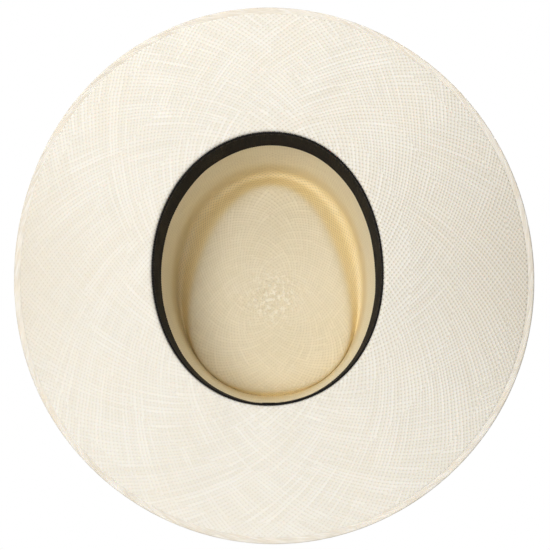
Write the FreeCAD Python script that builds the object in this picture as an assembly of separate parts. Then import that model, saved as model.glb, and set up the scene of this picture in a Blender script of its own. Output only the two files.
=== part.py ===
import FreeCAD, Part
import math
import os

# Panama hat, crown up, standing on its brim.
# Frame: +Z up, the front of the hat faces -Y, the wearer's left is +X.
# The origin is on the crown's axis, in the plane that the brim rests on. Lengths are in mm.

# ---- driving sizes -------------------------------------------------------------------
STRAW_THICK = 1.2

# head opening, measured inside the straw at the break line between crown and brim: a squarish oval
HEAD_HALF_WIDTH = 85.3
HEAD_HALF_LENGTH = 101.3
HEAD_WAVES = ((3, 0.6, math.radians(44.0)), (4, 0.6, math.radians(154.0)))
BREAK_HEIGHT = 9.0

# crown: a slightly bellied wall that leans in, a rounded rim, and a sunken egg-shaped tip inside the rim
CROWN_RISE = 107.0
WALL_LEAN = 0.11
WALL_SIDE_BELLY = 0.7
WALL_END_BELLY = 1.9
RIM_ROUND = 3.0
RIM_SIDE_WIDTH = 13.7
RIM_END_WIDTH = 8.8
TIP_DROP = 10.0
TIP_BACK_LIFT = 4.5
TIP_BACK_SHIFT = 4.2
TIP_EGG = 0.28
TIP_SQUARE = 0.09

# brim: an uneven oval, wider at the back and on the wearer's left, with its sides lifted
BRIM_SIDE_WIDTH = 105.8
BRIM_END_WIDTH = 94.1
BRIM_LEFT_SHIFT = 3.5
BRIM_BACK_SHIFT = 3.5
BRIM_SIDE_LIFT = 20.0
BRIM_LIFT_SHARPNESS = 6
BRIM_BEND = 1.5
BRIM_WAVES = ((2, 0.85, math.radians(-90.0)), (3, 0.5, math.radians(-70.0)), (4, 0.5, math.radians(-20.0)))

# rolled edge around the brim
EDGE_ROLL_WIDTH = 3.2
EDGE_ROLL_HEIGHT = 2.4

# sweatband inside the crown, the reed in its hem, its stitches and its joint
CLOTH_GAP = 0.2
SWEATBAND_THICK = 0.9
SWEATBAND_TOP = 36.0
REED_RADIUS = 0.6
STITCH_COUNT = 96
STITCH_LENGTH = 3.2
STITCH_WIDTH = 0.6
STITCH_RISE = 2.0
JOINT_TAPE_WIDTH = 12.0
JOINT_TAPE_THICK = 0.4
JOINT_TAPE_INSET = 1.5

# ribbon around the outside of the crown, and its bow on the wearer's left
HATBAND_LOW = 4.0
HATBAND_WIDTH = 38.0
HATBAND_THICK = 0.7
TACK_COUNT = 8
TACK_INSET = 1.5
BOW_TURN = math.radians(90.0)
BOW_KNOT_WIDTH = 13.0
BOW_KNOT_THICK = 5.5
BOW_KNOT_OVERHANG = 1.0
BOW_LOOP_REACH = 44.0
BOW_LOOP_THICK = 3.6
BOW_LOOP_PINCH = 0.8
BOW_TAIL_REACH = 53.0
BOW_TAIL_THICK = 0.7
BOW_TAIL_SLANT = 8.0
BOW_PLY_GAP = 0.3

# ---- how the curves are drawn --------------------------------------------------------
RING_POINTS = 36
TUBE_POINTS = 8
CUBIC = 3
STRAIGHT = 1
SEW_TOLERANCE = 0.001


# ---- ovals of the hat ----------------------------------------------------------------
def wave_at(turn, waves):
    """The sum of an oval's waves; each wave is (count, size, phase)."""
    return sum(size * math.cos(count * turn - phase) for count, size, phase in waves)


def wall_point(turn, rise, outward):
    """A point beside the crown wall: rise over the break line, outward from the straw's inner face."""
    fullness = math.sin(math.pi * rise / CROWN_RISE)
    growth = wave_at(turn, HEAD_WAVES) - WALL_LEAN * rise + outward
    half_width = HEAD_HALF_WIDTH + WALL_SIDE_BELLY * fullness + growth
    half_length = HEAD_HALF_LENGTH + WALL_END_BELLY * fullness + growth
    return FreeCAD.Vector(half_width * math.sin(turn), -half_length * math.cos(turn), BREAK_HEIGHT + rise)


def tip_point(turn, share, rise):
    """A point on the egg-shaped tip, narrow at the front; share 1 is the tip's edge."""
    growth = wave_at(turn, HEAD_WAVES) - WALL_LEAN * CROWN_RISE
    half_width = HEAD_HALF_WIDTH + growth - RIM_SIDE_WIDTH
    half_length = HEAD_HALF_LENGTH + growth - RIM_END_WIDTH
    front = math.cos(turn)
    width_share = 1.0 - TIP_EGG * front + TIP_SQUARE * front * front
    side = half_width * share * math.sin(turn) * width_share
    back = TIP_BACK_SHIFT - half_length * share * front
    return FreeCAD.Vector(side, back, BREAK_HEIGHT + rise)


def tip_lift(turn):
    """How far the tip's edge curls up towards the rim: not at all at the front, most at the back."""
    return TIP_BACK_LIFT * math.sin(turn / 2) ** 4


def edge_height(turn):
    """Height of the brim's edge: level at the front and the back, lifted at the sides."""
    return EDGE_ROLL_HEIGHT / 2 + BRIM_SIDE_LIFT * abs(math.sin(turn)) ** BRIM_LIFT_SHARPNESS


def outline_point(turn, inset, height):
    """A point on the brim's outline, moved in by inset."""
    growth = wave_at(turn, BRIM_WAVES) - inset
    half_width = HEAD_HALF_WIDTH + BRIM_SIDE_WIDTH + growth
    half_length = HEAD_HALF_LENGTH + BRIM_END_WIDTH + growth
    left = BRIM_LEFT_SHIFT + half_width * math.sin(turn)
    back = BRIM_BACK_SHIFT - half_length * math.cos(turn)
    return FreeCAD.Vector(left, back, height)


def brim_point(turn, share):
    """A point in the middle of the brim's thickness: share 0 at the break line, 1 at the rolled edge."""
    start = wall_point(turn, 0.0, STRAW_THICK / 2)
    end = outline_point(turn, EDGE_ROLL_WIDTH, edge_height(turn))
    point = start + (end - start) * share
    point.z = start.z + (end.z - start.z) * share ** BRIM_BEND
    return point


# ---- surfaces and solids from rings --------------------------------------------------
def ring(point_at):
    """Control points of a closed cubic curve that runs through point_at(turn) all round the hat."""
    points = [point_at(2 * math.pi * index / RING_POINTS) for index in range(RING_POINTS)]
    poles = []
    for index, point in enumerate(points):
        after = points[(index + 1) % RING_POINTS]
        smoothed = (points[index - 1] + point * 4 + after) * (1 / 6)
        poles.append(point * 2 - smoothed)
    return poles


def ring_face(rows, degree_along, closed_along=False):
    """A face that is closed round the hat, with one ring of control points in each row."""
    columns = [[row[index] for row in rows] for index in range(RING_POINTS)]
    knots_around = list(range(RING_POINTS + 1))
    spans_along = len(rows) if closed_along else len(rows) - degree_along
    knots_along = list(range(spans_along + 1))
    multiplicities_along = [1] * len(knots_along)
    if not closed_along:
        multiplicities_along[0] = degree_along + 1
        multiplicities_along[-1] = degree_along + 1
    surface = Part.BSplineSurface()
    surface.buildFromPolesMultsKnots(
        columns, [1] * len(knots_around), multiplicities_along, knots_around, knots_along,
        True, closed_along, CUBIC, degree_along)
    return surface.toShape()


def solid_from_shell(shell):
    """The solid inside a closed shell, whichever way its faces point."""
    solid = Part.Solid(shell)
    if solid.Volume < 0:
        solid.reverse()
    return solid


def solid_from_faces(faces):
    """One solid from faces that meet along their edges."""
    shell = Part.makeShell(faces)
    shell.sewShape(SEW_TOLERANCE)
    return solid_from_shell(shell)


def strap_ring(low, high, inside, outside):
    """A closed strap along the crown wall; its middle corners follow the wall's belly."""
    middle = (low + high) / 2
    corners = ((low, inside), (low, outside), (middle, outside), (high, outside), (high, inside), (middle, inside))
    rows = [ring(lambda turn, c=corner: wall_point(turn, c[0], c[1])) for corner in corners]
    faces = [ring_face([rows[index - 1], rows[index]], STRAIGHT) for index in range(len(rows))]
    return solid_from_faces(faces)


def tube_ring(centre_at, half_width, half_height):
    """A closed tube round the hat; centre_at(turn, inset, lift) gives points of its section."""
    fullness = 3.0 / (2.0 + math.cos(2 * math.pi / TUBE_POINTS))
    rows = []
    for index in range(TUBE_POINTS):
        angle = 2 * math.pi * index / TUBE_POINTS
        inset = half_width * fullness * math.cos(angle)
        lift = half_height * fullness * math.sin(angle)
        rows.append(ring(lambda turn, i=inset, z=lift: centre_at(turn, i, z)))
    return solid_from_shell(Part.makeShell([ring_face(rows, CUBIC, closed_along=True)]))


def wall_patch(sections):
    """A patch on the crown wall; each section is (turn, low, high, inside, outside)."""
    wires = []
    for turn, low, high, inside, outside in sections:
        corners = ((low, inside), (low, outside), (high, outside), (high, inside))
        points = [wall_point(turn, rise, outward) for rise, outward in corners]
        wires.append(Part.makePolygon(points + [points[0]]))
    return Part.makeLoft(wires, True)


# ---- straw ---------------------------------------------------------------------------
def crown_rows():
    """Rings in the middle of the straw, from the flat of the tip out to the break line."""
    tip_rise = CROWN_RISE - TIP_DROP
    middle = STRAW_THICK / 2
    rows = []
    for share, lift_share in ((0.70, 0.0), (0.80, 0.0), (0.92, 0.35), (1.0, 1.0)):
        rows.append(ring(lambda turn, s=share, l=lift_share: tip_point(turn, s, tip_rise + l * tip_lift(turn))))

    def rim_point(turn, share, rise):
        inner = tip_point(turn, 1.0, rise)
        outer = wall_point(turn, rise, middle)
        return inner + (outer - inner) * share

    rows.append(ring(lambda turn: rim_point(turn, 0.33, CROWN_RISE - (TIP_DROP - tip_lift(turn)) / 2)))
    for share in (0.62, 0.85):
        rows.append(ring(lambda turn, s=share: rim_point(turn, s, CROWN_RISE)))
    middle_rises = [CROWN_RISE * share for share in (0.75, 0.6, 0.45, 0.3, 0.15)]
    wall_rises = [CROWN_RISE - RIM_ROUND, CROWN_RISE - 4 * RIM_ROUND] + middle_rises + [2 * RIM_ROUND, RIM_ROUND]
    for rise in wall_rises:
        rows.append(ring(lambda turn, r=rise: wall_point(turn, r, middle)))
    return rows


def brim_rows():
    """Rings in the middle of the straw, from the break line out to the rolled edge."""
    shares = (0.0, 0.03, 0.08, 0.25, 0.5, 0.75, 0.95, 1.0)
    return [ring(lambda turn, s=share: brim_point(turn, s)) for share in shares]


def moved_rows(rows, distance):
    """The same rings, moved along the straw's upper normal."""
    moved = []
    for level, row in enumerate(rows):
        before = rows[max(level - 1, 0)]
        after = rows[min(level + 1, len(rows) - 1)]
        new_row = []
        for index, pole in enumerate(row):
            along = after[index] - before[index]
            around = row[(index + 1) % RING_POINTS] - row[index - 1]
            normal = along.cross(around)
            normal.normalize()
            new_row.append(pole + normal * distance)
        moved.append(new_row)
    return moved


def straw_body():
    """Crown and brim, woven in one piece."""
    middle_rows = crown_rows() + brim_rows()
    upper_rows = moved_rows(middle_rows, STRAW_THICK / 2)
    lower_rows = moved_rows(middle_rows, -STRAW_THICK / 2)
    skin = ring_face(upper_rows + lower_rows[::-1], CUBIC)
    tip_edges = [edge for edge in skin.Edges if edge.BoundBox.ZLength < SEW_TOLERANCE]
    tips = [Part.Face(Part.Wire([edge])) for edge in tip_edges]
    return solid_from_faces([skin] + tips)


def brim_edge_roll():
    """The straw ends, turned back and rolled around the brim's edge."""
    half_width = EDGE_ROLL_WIDTH / 2

    def section_point(turn, inset, lift):
        return outline_point(turn, half_width + inset, edge_height(turn) + lift)

    return tube_ring(section_point, half_width, EDGE_ROLL_HEIGHT / 2)


# ---- sweatband -----------------------------------------------------------------------
def sweatband_faces():
    """Distances of the sweatband's inner and outer face from the straw's inner face."""
    outer = -CLOTH_GAP
    return outer - SWEATBAND_THICK, outer


def sweatband_low():
    """Rise of the sweatband's lower edge, which stands on the reed."""
    return 2 * REED_RADIUS + CLOTH_GAP


def sweatband():
    inner, outer = sweatband_faces()
    return strap_ring(sweatband_low(), SWEATBAND_TOP, inner, outer)


def sweatband_reed():
    """Flexible bead that keeps the sweatband's hem round."""

    def section_point(turn, inset, lift):
        return wall_point(turn, REED_RADIUS + lift, -CLOTH_GAP - REED_RADIUS - inset)

    return tube_ring(section_point, REED_RADIUS, REED_RADIUS)


def thread_bar(turn, rise, outward, length, depth):
    """One short stitch that lies along the crown wall, its face outward from the wall by outward."""
    bar = Part.makeBox(depth, length, STITCH_WIDTH, FreeCAD.Vector(-depth, -length / 2, -STITCH_WIDTH / 2))
    place = wall_point(turn, rise, outward)
    ahead = wall_point(turn + 0.01, rise, outward) - place
    heading = math.degrees(math.atan2(ahead.y, ahead.x)) - 90.0
    bar.Placement = FreeCAD.Placement(place, FreeCAD.Rotation(FreeCAD.Vector(0, 0, 1), heading))
    return bar


def sweatband_stitches():
    """The row of stitches through the hem, above the reed."""
    inner, _ = sweatband_faces()
    rise = sweatband_low() + STITCH_RISE
    turns = [2 * math.pi * (index + 0.5) / STITCH_COUNT for index in range(STITCH_COUNT)]
    depth = STITCH_WIDTH / 2
    return Part.makeCompound([thread_bar(turn, rise, inner, STITCH_LENGTH, depth) for turn in turns])


def sweatband_joint_tape():
    """Narrow tape over the joint of the sweatband's two ends, at the back."""
    inner, _ = sweatband_faces()
    low = sweatband_low() + STITCH_RISE + STITCH_WIDTH + JOINT_TAPE_INSET
    high = SWEATBAND_TOP - JOINT_TAPE_INSET
    half_turn = JOINT_TAPE_WIDTH / 2 / HEAD_HALF_WIDTH
    turns = [math.pi + half_turn * share for share in (-1.0, 0.0, 1.0)]
    return wall_patch([(turn, low, high, inner - JOINT_TAPE_THICK, inner) for turn in turns])


# ---- outer ribbon and bow ------------------------------------------------------------
def hatband_faces():
    """Distances of the ribbon's inner and outer face from the straw's inner face."""
    inner = STRAW_THICK + CLOTH_GAP
    return inner, inner + HATBAND_THICK


def hatband():
    inner, outer = hatband_faces()
    return strap_ring(HATBAND_LOW, HATBAND_LOW + HATBAND_WIDTH, inner, outer)


def hatband_tacks():
    """Short stitches near the ribbon's upper edge that hold it to the straw."""
    _, outer = hatband_faces()
    depth = STITCH_WIDTH / 2
    rise = HATBAND_LOW + HATBAND_WIDTH - TACK_INSET
    bow_half_turn = BOW_TAIL_REACH / HEAD_HALF_LENGTH
    free_turn = 2 * (math.pi - bow_half_turn)
    first_turn = BOW_TURN + bow_half_turn
    turns = [first_turn + free_turn * (index + 0.5) / TACK_COUNT for index in range(TACK_COUNT)]
    return Part.makeCompound([thread_bar(turn, rise, outer + depth, STITCH_LENGTH, depth) for turn in turns])


def bow_tail_faces():
    """Distances of the tails' inner and outer face from the straw's inner face."""
    _, ribbon_face = hatband_faces()
    inner = ribbon_face + BOW_PLY_GAP
    return inner, inner + BOW_TAIL_THICK


def bow_tails():
    """One flat ribbon under the bow; its two slanted ends show beyond the loops."""
    inner, outer = bow_tail_faces()
    low = HATBAND_LOW + BOW_KNOT_OVERHANG
    high = HATBAND_LOW + HATBAND_WIDTH - BOW_KNOT_OVERHANG
    sections = []
    for share in (-1.0, -0.5, 0.0, 0.5, 1.0):
        turn = BOW_TURN + share * BOW_TAIL_REACH / HEAD_HALF_LENGTH
        sections.append((turn, low, high, inner, outer))
    tails = wall_patch(sections)
    return tails.cut(tail_cutter(-1.0)).cut(tail_cutter(1.0))


def tail_cutter(side):
    """Wedge that trims one tail on a slant."""
    reach = side * BOW_TAIL_REACH
    slant = side * BOW_TAIL_SLANT
    low = BREAK_HEIGHT + HATBAND_LOW
    high = low + HATBAND_WIDTH
    corners = ((reach - slant, low), (reach + slant, low), (reach + slant, high), (reach, high))
    points = [FreeCAD.Vector(0, along, height) for along, height in corners]
    wedge = Part.Face(Part.makePolygon(points + [points[0]]))
    return wedge.extrude(FreeCAD.Vector(2 * HEAD_HALF_WIDTH, 0, 0))


def bow_loop(side):
    """One folded loop of the bow, pinched where it goes under the knot; side -1 is the front."""
    _, tail_face = bow_tail_faces()
    inner = tail_face + BOW_PLY_GAP
    middle = HATBAND_LOW + HATBAND_WIDTH / 2
    start = BOW_KNOT_WIDTH / 2
    sections = []
    for share in (0.0, 0.35, 0.7, 1.0):
        arc = start + (BOW_LOOP_REACH - start) * share
        fullness = BOW_LOOP_PINCH + (1.0 - BOW_LOOP_PINCH) * math.sin(share * math.pi / 2)
        half = (HATBAND_WIDTH / 2 - BOW_KNOT_OVERHANG) * fullness
        turn = BOW_TURN + side * arc / HEAD_HALF_LENGTH
        sections.append((turn, middle - half, middle + half, inner, inner + BOW_LOOP_THICK * fullness))
    return wall_patch(sections)


def bow_knot():
    """The short ribbon wrapped over the middle of the bow."""
    _, tail_face = bow_tail_faces()
    inner = tail_face + BOW_PLY_GAP
    low = HATBAND_LOW - BOW_KNOT_OVERHANG
    high = HATBAND_LOW + HATBAND_WIDTH + BOW_KNOT_OVERHANG
    half_turn = BOW_KNOT_WIDTH / 2 / HEAD_HALF_LENGTH
    turns = [BOW_TURN + half_turn * share for share in (-1.0, 0.0, 1.0)]
    return wall_patch([(turn, low, high, inner, inner + BOW_KNOT_THICK) for turn in turns])


def main():
    os.makedirs("parts", exist_ok=True)
    parts = {
        "straw_body": straw_body(),
        "brim_edge_roll": brim_edge_roll(),
        "sweatband": sweatband(),
        "sweatband_reed": sweatband_reed(),
        "sweatband_stitches": sweatband_stitches(),
        "sweatband_joint_tape": sweatband_joint_tape(),
        "hatband": hatband(),
        "hatband_tacks": hatband_tacks(),
        "bow_tails": bow_tails(),
        "bow_front_loop": bow_loop(-1.0),
        "bow_rear_loop": bow_loop(1.0),
        "bow_knot": bow_knot(),
    }
    for name, shape in parts.items():
        shape.exportStep(os.path.join("parts", name + ".step"))
        print(name, "valid", shape.isValid(), "solids", len(shape.Solids), "volume", round(shape.Volume, 1))


main()
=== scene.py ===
import math
from collections import namedtuple

import bmesh
import bpy
import numpy as np
from mathutils import Matrix, Vector


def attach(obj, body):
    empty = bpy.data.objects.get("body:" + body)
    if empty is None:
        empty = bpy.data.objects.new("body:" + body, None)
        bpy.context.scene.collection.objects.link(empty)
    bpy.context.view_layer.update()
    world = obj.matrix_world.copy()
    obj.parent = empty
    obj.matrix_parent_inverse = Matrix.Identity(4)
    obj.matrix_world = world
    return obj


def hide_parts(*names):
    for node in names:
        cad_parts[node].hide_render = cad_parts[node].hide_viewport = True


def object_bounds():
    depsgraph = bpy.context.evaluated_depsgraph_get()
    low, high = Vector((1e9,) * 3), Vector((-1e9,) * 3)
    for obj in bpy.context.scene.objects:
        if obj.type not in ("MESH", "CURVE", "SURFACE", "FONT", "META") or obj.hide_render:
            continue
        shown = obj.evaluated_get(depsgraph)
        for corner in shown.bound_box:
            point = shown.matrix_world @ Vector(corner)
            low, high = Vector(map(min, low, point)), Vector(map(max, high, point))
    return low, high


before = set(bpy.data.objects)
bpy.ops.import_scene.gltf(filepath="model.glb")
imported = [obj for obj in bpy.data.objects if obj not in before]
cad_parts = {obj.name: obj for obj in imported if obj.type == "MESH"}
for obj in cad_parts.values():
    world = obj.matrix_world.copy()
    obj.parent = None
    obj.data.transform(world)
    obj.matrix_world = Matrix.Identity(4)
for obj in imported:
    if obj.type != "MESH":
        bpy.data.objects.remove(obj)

# Looks of the panama hat. Metres, +Z up, front at -Y, wearer's left at +X.
# turn is the angle round the crown: 0 at the front, a quarter turn at the wearer's left.
# rise is the height over the break line, and outward is the distance from the straw's inner face.

CAD_BOX = [list(corner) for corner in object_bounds()]
SEED = 7
MM = 0.001
FULL_TURN = 2 * math.pi

# ---- sizes, as in the CAD model ----
STRAW_THICK = 1.2 * MM
HEAD_HALF_WIDTH = 85.3 * MM
HEAD_HALF_LENGTH = 101.3 * MM
HEAD_WAVES = ((3, 0.6 * MM, math.radians(44.0)), (4, 0.6 * MM, math.radians(154.0)))
BREAK_HEIGHT = 9.0 * MM
CROWN_RISE = 107.0 * MM
WALL_LEAN = 0.11
WALL_SIDE_BELLY = 0.7 * MM
WALL_END_BELLY = 1.9 * MM
RIM_ROUND = 3.0 * MM
RIM_SIDE_WIDTH = 13.7 * MM
RIM_END_WIDTH = 8.8 * MM
TIP_DROP = 10.0 * MM
TIP_BACK_LIFT = 4.5 * MM
TIP_BACK_SHIFT = 4.2 * MM
TIP_EGG = 0.28
TIP_SQUARE = 0.09
BRIM_SIDE_WIDTH = 105.8 * MM
BRIM_END_WIDTH = 94.1 * MM
BRIM_LEFT_SHIFT = 3.5 * MM
BRIM_BACK_SHIFT = 3.5 * MM
BRIM_SIDE_LIFT = 20.0 * MM
BRIM_LIFT_SHARPNESS = 6
BRIM_BEND = 1.5
BRIM_WAVES = ((2, 0.85 * MM, math.radians(-90.0)), (3, 0.5 * MM, math.radians(-70.0)),
              (4, 0.5 * MM, math.radians(-20.0)))
EDGE_ROLL_WIDTH = 3.2 * MM
EDGE_ROLL_HEIGHT = 2.4 * MM
CLOTH_GAP = 0.2 * MM
SWEATBAND_THICK = 0.9 * MM
SWEATBAND_TOP = 36.0 * MM
REED_RADIUS = 0.6 * MM
HATBAND_LOW = 4.0 * MM
HATBAND_WIDTH = 38.0 * MM
HATBAND_THICK = 0.7 * MM
BOW_TURN = math.radians(90.0)
BOW_KNOT_WIDTH = 13.0 * MM
BOW_LOOP_REACH = 44.0 * MM
BOW_LOOP_THICK = 3.6 * MM
BOW_TAIL_REACH = 53.0 * MM
BOW_TAIL_SLANT = 8.0 * MM
BOW_TAIL_THICK = 0.7 * MM
BOW_KNOT_THICK = 5.5 * MM
BOW_PLY_GAP = 0.3 * MM
TIP_HEIGHT = BREAK_HEIGHT + CROWN_RISE - TIP_DROP
SWEATBAND_FACE = -CLOTH_GAP - SWEATBAND_THICK
HATBAND_FACE = STRAW_THICK + CLOTH_GAP + HATBAND_THICK
HATBAND_MIDDLE = HATBAND_LOW + HATBAND_WIDTH / 2
BOW_BASE = HATBAND_FACE + BOW_PLY_GAP

# ---- sizes of the cloth pieces that only show here ----
RIBBON_PLY = 0.6 * MM
BAND_RIB_COUNT = 324
BAND_RIB_DEPTH = 0.09 * MM
JOINT_TAPE_HALF_WIDTH = 6.0 * MM
JOINT_TAPE_LOW = 6.3 * MM
JOINT_TAPE_HIGH = 34.5 * MM
JOINT_TAPE_THICK = 0.3 * MM
JOINT_TAPE_CROWN = 0.15 * MM
STITCH_LENGTH = 3.2 * MM
STITCH_RADIUS = 0.30 * MM
STITCH_SAG = 0.15 * MM
HEM_STITCH_COUNT = 96
HEM_STITCH_RISE = 4.2 * MM
TACK_COUNT = 8
TACK_INSET = 1.5 * MM

# ---- weave ----
STRAND_PITCH = 2.4 * MM
TIP_STRAND_PITCH = 2.1 * MM
STRAND_SLANT = 1.3
FAMILY_OFFSET = 1000.0
ZONE_GROWTH = 1.25
ZONE_MIN_LENGTH = 7.0 * MM
ROSETTE = (2.2 * MM, 10.9 * MM)
ROSETTE_REACH = 19.0 * MM
ROSETTE_RING = 4.6 * MM
OPEN_WEAVE_TURN = math.radians(60.0)
EDGE_BAND_WIDTH = 5.2 * MM
EDGE_BAND_END = 0.5 * MM
EDGE_STRAND_PITCH = 1.2 * MM
EDGE_STRANDS_PER_ROUND = 140
TIP_WEAVE_RISE = 60.0 * MM
TIP_WEAVE_FADE = 30.0 * MM

# ---- straw colours, darkest and lightest strand where there are two ----
STRAW_BLEACHED = ((0.695, 0.655, 0.565, 1), (0.805, 0.780, 0.715, 1))
# golden inside the crown: painted warm bounce light
STRAW_CROWN_BOUNCE = ((0.695, 0.610, 0.430, 1), (0.795, 0.710, 0.525, 1))
# in the rim's hollow: painted warm bounce light
STRAW_HOLLOW_BOUNCE = ((0.790, 0.635, 0.330, 1), (0.895, 0.750, 0.430, 1))
# lighter colour on the crown's wall: painted light
STRAW_WALL_LIGHT = ((0.870, 0.765, 0.530, 1), (0.970, 0.875, 0.630, 1))
# darker and yellower where the brim's sides lift: painted shade
STRAW_LIFTED_SHADE = (0.665, 0.605, 0.500, 1)
STRAW_BLOTCH = (0.775, 0.700, 0.575, 1)
STRAW_STREAK = (0.66, 0.57, 0.40, 1)
STRAW_KNOT = (0.93, 0.88, 0.74, 1)
# painted shade in the weave's pinholes and grooves
STRAW_GAP_SHADE = (0.44, 0.36, 0.23, 1)
STRAW_EDGE = ((0.68, 0.62, 0.52, 1), (0.81, 0.77, 0.69, 1))
STRAW_EDGE_STAIN = (0.77, 0.67, 0.52, 1)
# painted shade in the grooves between the edge's strands
STRAW_EDGE_GROOVE_SHADE = (0.50, 0.41, 0.29, 1)
STRAW_SHEEN = {"Specular_IOR_Level": 0.3, "Sheen_Weight": 0.05, "Sheen_Roughness": 0.5,
               "Subsurface_Weight": 0.12, "Subsurface_Radius": (1.0, 0.75, 0.4),
               "Subsurface_Scale": 1.2 * MM}

# ---- camera and surroundings ----
WORLD_LIGHT = 0.37
WORLD_SEEN = 1.0
CAMERA_TARGET = (5.2 * MM, 6.35 * MM, 0.0)
CAMERA_LEAN_LEFT = 0.0119
CAMERA_LEAN_BACK = 0.121
CAMERA_DISTANCE = 1.3
CAMERA_LENS = 117.5


# ---- ovals of the hat ----
def smooth(value):
    """Smooth step of a value or an array, from 0 to 1."""
    value = np.clip(value, 0.0, 1.0)
    return value * value * (3.0 - 2.0 * value)


def points(x, y, z):
    """Rows of points from coordinates that are numbers or arrays."""
    return np.stack(np.broadcast_arrays(x, y, z), axis=-1).astype(float)


def waves_at(turn, waves):
    """The sum of an oval's waves; each wave is (count, size, phase)."""
    return sum(size * np.cos(count * turn - phase) for count, size, phase in waves)


def wall_points(turn, rise, outward):
    """Points on the crown's leaning wall."""
    fullness = np.sin(np.pi * rise / CROWN_RISE)
    growth = waves_at(turn, HEAD_WAVES) - WALL_LEAN * rise + outward
    half_width = HEAD_HALF_WIDTH + WALL_SIDE_BELLY * fullness + growth
    half_length = HEAD_HALF_LENGTH + WALL_END_BELLY * fullness + growth
    return points(half_width * np.sin(turn), -half_length * np.cos(turn), BREAK_HEIGHT + rise)


def tip_points(turn, rise):
    """The egg-shaped edge of the tip, narrow at the front."""
    growth = waves_at(turn, HEAD_WAVES) - WALL_LEAN * CROWN_RISE
    half_width = HEAD_HALF_WIDTH + growth - RIM_SIDE_WIDTH
    half_length = HEAD_HALF_LENGTH + growth - RIM_END_WIDTH
    front = np.cos(turn)
    width_share = 1.0 - TIP_EGG * front + TIP_SQUARE * front * front
    return points(half_width * np.sin(turn) * width_share, TIP_BACK_SHIFT - half_length * front,
                  BREAK_HEIGHT + rise)


def tip_lift(turn):
    """How much the tip's edge curls up, all of it towards the back."""
    return TIP_BACK_LIFT * np.sin(turn / 2) ** 4


def inner_tip_points(turn, share, rise):
    """Rings inside the tip, egg-shaped at its edge and round at the rosette."""
    edge = tip_points(turn, rise)
    centre = np.array([ROSETTE[0], ROSETTE[1], BREAK_HEIGHT + rise])
    reach = edge - centre
    mean_radius = np.linalg.norm(reach, axis=-1).mean()
    circle = points(mean_radius * np.sin(turn), -mean_radius * np.cos(turn), 0.0)
    return centre + share * (share * reach + (1.0 - share) * circle)


def edge_height(turn):
    """Height of the brim's edge: it rests at the front and the back, and its sides are lifted."""
    return EDGE_ROLL_HEIGHT / 2 + BRIM_SIDE_LIFT * np.abs(np.sin(turn)) ** BRIM_LIFT_SHARPNESS


def outline_points(turn, inset, height):
    """Points on the brim's outline, moved inwards by inset."""
    growth = waves_at(turn, BRIM_WAVES) - inset
    half_width = HEAD_HALF_WIDTH + BRIM_SIDE_WIDTH + growth
    half_length = HEAD_HALF_LENGTH + BRIM_END_WIDTH + growth
    left = BRIM_LEFT_SHIFT + half_width * np.sin(turn)
    back = BRIM_BACK_SHIFT - half_length * np.cos(turn)
    return points(left, back, height)


def brim_points(turn, share):
    """A ring of the brim, from the break line at share 0 to the edge at share 1."""
    start = wall_points(turn, 0.0, STRAW_THICK / 2)
    end = outline_points(turn, EDGE_ROLL_WIDTH, edge_height(turn))
    result = start + (end - start) * share
    result[:, 2] = start[:, 2] + (end[:, 2] - start[:, 2]) * share ** BRIM_BEND
    return result


# ---- meshes ----
def close_round(values, step=0.0):
    """Values round the hat with the first one again at the end, grown by step."""
    return np.append(values, values[0] + step)


def arc_round(turn):
    """Millimetres along a band round the head."""
    return close_round(turn, FULL_TURN)[None, :] * HEAD_HALF_LENGTH / MM


def turns(count):
    """Even turns round the hat, without the last one that meets the first."""
    return np.arange(count) * FULL_TURN / count


def gentle_noise(turn, counts, size, random):
    """Smooth closed waves round the hat with random sizes and phases."""
    total = np.zeros_like(turn)
    for count in counts:
        total += random.uniform(0.5, 1.0) * np.cos(count * turn - random.uniform(0, FULL_TURN))
    return size * total / math.sqrt(len(counts))


def normals_of(grid, closed):
    """Unit normals of a grid of points; closed says that the last column joins the first."""
    along = np.gradient(grid, axis=0)
    if closed:
        around = np.roll(grid, -1, axis=1) - np.roll(grid, 1, axis=1)
    else:
        around = np.gradient(grid, axis=1)
    normal = np.cross(along, around)
    length = np.linalg.norm(normal, axis=-1, keepdims=True)
    return normal / np.maximum(length, 1e-12)


def grid_quads(rows, columns, closed, first=0):
    """Corner numbers of the quads of a grid, row by row."""
    steps = columns if closed else columns - 1
    row, column = np.meshgrid(np.arange(rows - 1), np.arange(steps), indexing="ij")
    after = (column + 1) % columns
    quads = np.stack([row * columns + column, row * columns + after,
                      (row + 1) * columns + after, (row + 1) * columns + column], axis=-1)
    return first + quads.reshape(-1, 4)


def grid_uvs(rows, columns, closed, u, v):
    """Corner coordinates to match grid_quads. A closed grid has one more column in u and v."""
    steps = columns if closed else columns - 1
    row, column = np.meshgrid(np.arange(rows - 1), np.arange(steps), indexing="ij")
    corners = ((row, column), (row, column + 1), (row + 1, column + 1), (row + 1, column))
    u, v = np.broadcast_arrays(u, v)
    pairs = [np.stack([u[r, c], v[r, c]], axis=-1) for r, c in corners]
    return np.stack(pairs, axis=2).reshape(-1, 4, 2)


def mesh_object(name, vertices, quads, uvs, material):
    """A mesh object from arrays; uvs holds one pair for each corner of each quad."""
    mesh = bpy.data.meshes.new(name)
    mesh.vertices.add(len(vertices))
    mesh.vertices.foreach_set("co", np.asarray(vertices, np.float32).ravel())
    mesh.loops.add(quads.size)
    mesh.loops.foreach_set("vertex_index", quads.astype(np.int32).ravel())
    mesh.polygons.add(len(quads))
    mesh.polygons.foreach_set("loop_start", np.arange(0, quads.size, 4, dtype=np.int32))
    mesh.update(calc_edges=True)
    layer = mesh.uv_layers.new(name="pattern")
    layer.data.foreach_set("uv", np.asarray(uvs, np.float32).ravel())
    mesh.polygons.foreach_set("use_smooth", np.ones(len(quads), bool))
    mesh.materials.append(material)
    mesh.validate()
    piece = bpy.data.objects.new(name, mesh)
    bpy.context.scene.collection.objects.link(piece)
    return piece


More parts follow.
